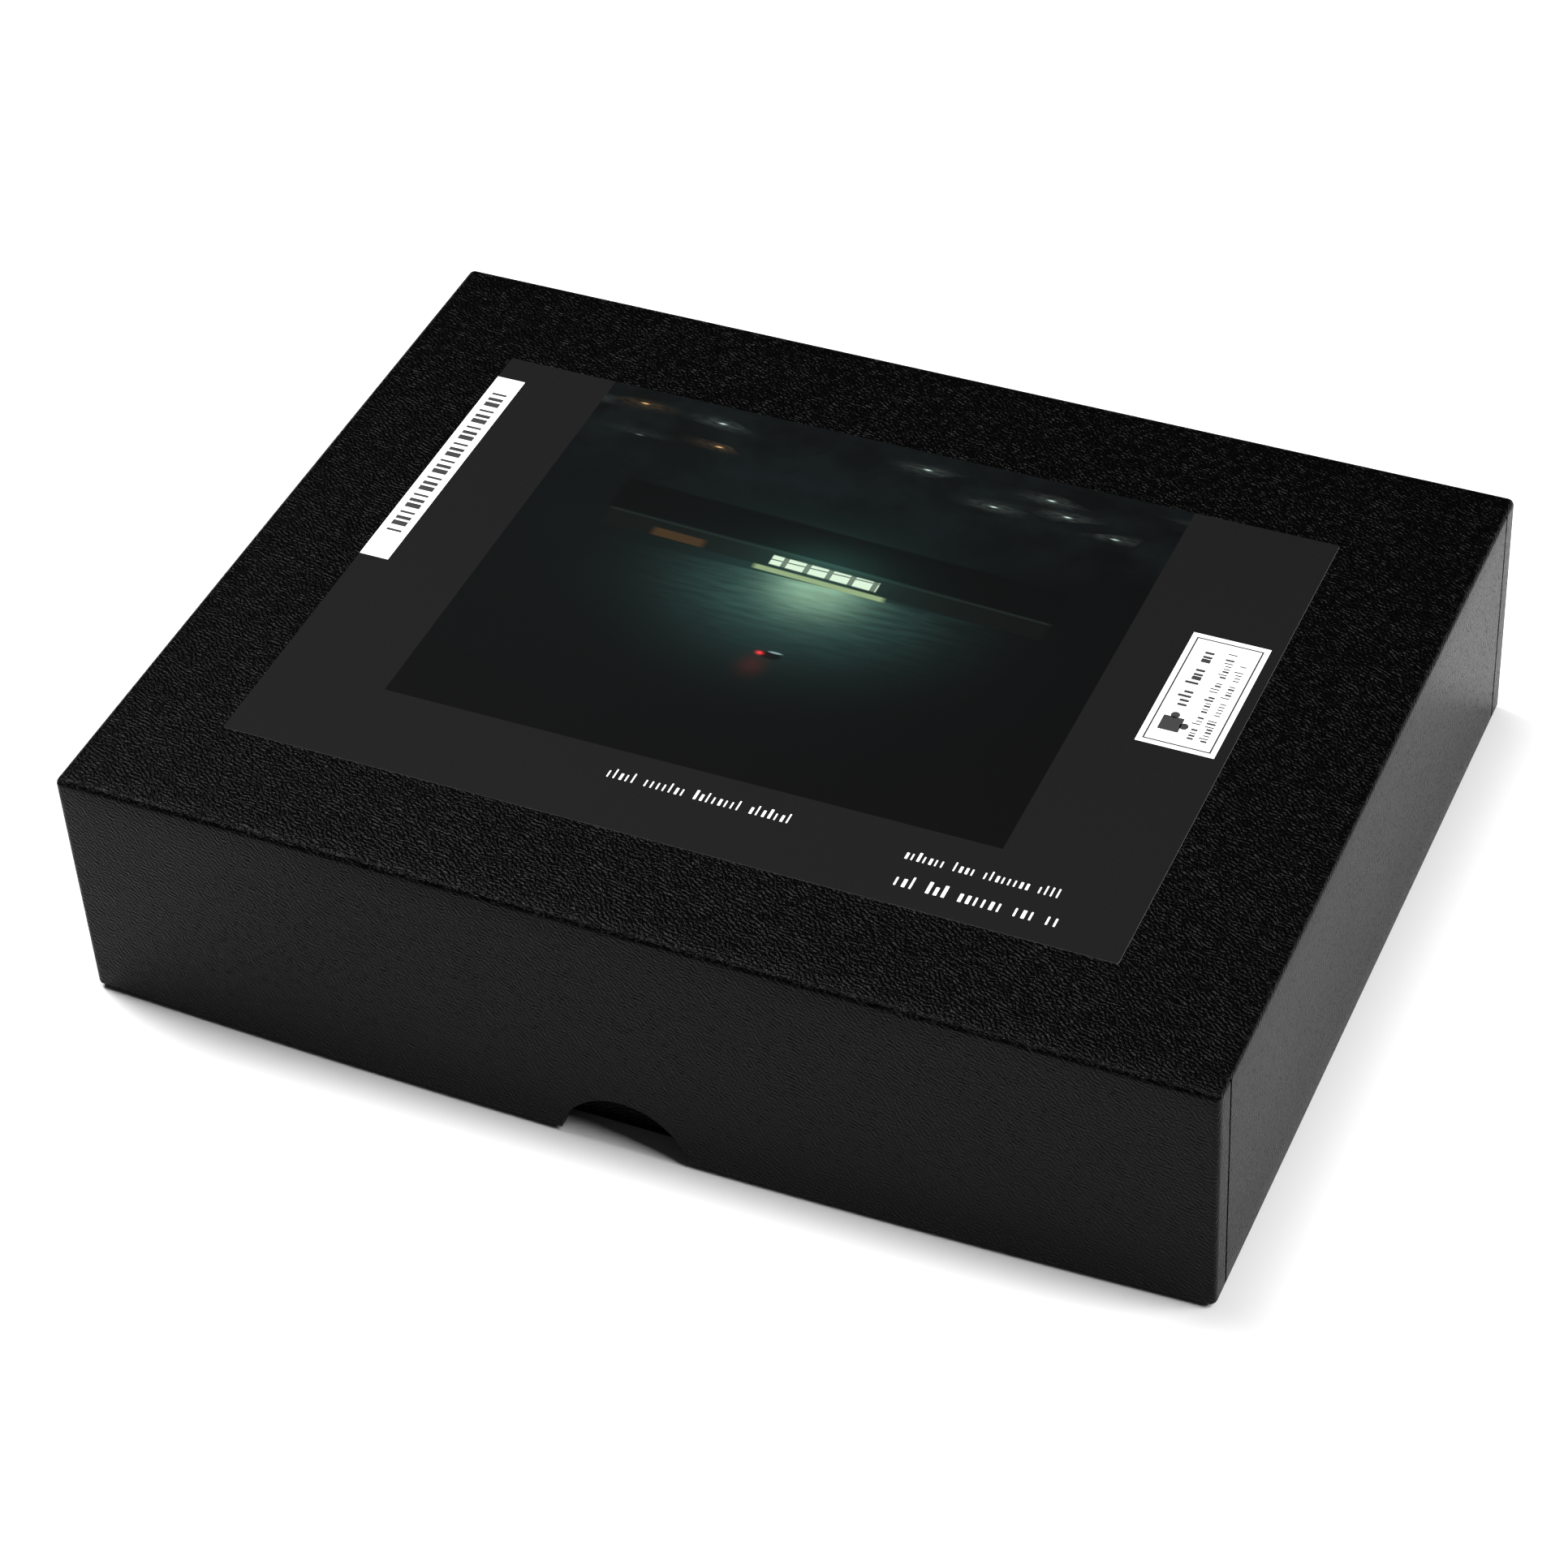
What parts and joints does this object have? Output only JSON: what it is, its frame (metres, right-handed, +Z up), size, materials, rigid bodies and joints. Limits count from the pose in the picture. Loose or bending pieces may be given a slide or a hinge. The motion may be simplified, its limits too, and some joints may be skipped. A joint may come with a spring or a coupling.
{
  "type": "boxed jigsaw puzzle",
  "caption": "Rectangular rigid gift-style box with a full-depth lift-off lid over a tray, holding a clear bag of loose die-cut jigsaw puzzle pieces.",
  "frame": {"origin": "middle of the closed box at the table", "axes": "+X along the long side, +Y from the front wall to the back wall, +Z up through the lid"},
  "size_m": [0.26, 0.2024, 0.0616],
  "materials": {
    "greyboard": "matte recycled board",
    "stay_paper": "matte kraft paper",
    "black_leather_paper": "satin, embossed with a leather grain",
    "black_base_paper": "matte",
    "printed_label": "matte print",
    "clear_film": "glossy clear plastic film",
    "puzzle_board": "satin print on board"
  },
  "bodies": {
    "tray": {"tray_board": "greyboard", "tray_corner_stays": "stay_paper", "tray_wrap": "black_leather_paper", "tray_bottom_paper": "black_base_paper"},
    "lid": {"lid_board": "greyboard", "lid_corner_stays": "stay_paper", "lid_wrap": "black_leather_paper", "lid_label": "printed_label"},
    "bag": {"piece_bag": "clear_film", "puzzle_row_01": "puzzle_board", "puzzle_row_02": "puzzle_board", "puzzle_row_03": "puzzle_board", "puzzle_row_04": "puzzle_board", "puzzle_row_05": "puzzle_board", "puzzle_row_06": "puzzle_board", "puzzle_row_07": "puzzle_board", "puzzle_row_08": "puzzle_board", "puzzle_row_09": "puzzle_board", "puzzle_row_10": "puzzle_board", "puzzle_row_11": "puzzle_board", "puzzle_row_12": "puzzle_board", "puzzle_row_13": "puzzle_board", "puzzle_row_14": "puzzle_board", "puzzle_row_15": "puzzle_board", "puzzle_row_16": "puzzle_board", "puzzle_row_17": "puzzle_board", "puzzle_row_18": "puzzle_board", "puzzle_row_19": "puzzle_board", "puzzle_row_20": "puzzle_board"}
  },
  "joints": [
    {"name": "lid_lift", "type": "slide", "parent": "tray", "child": "lid", "axis": [0, 0, 1], "range_m": [0, 0.16]},
    {"name": "bag_lift", "type": "slide", "parent": "tray", "child": "bag", "axis": [0, 0, 1], "range_m": [0, 0.01]}
  ]
}
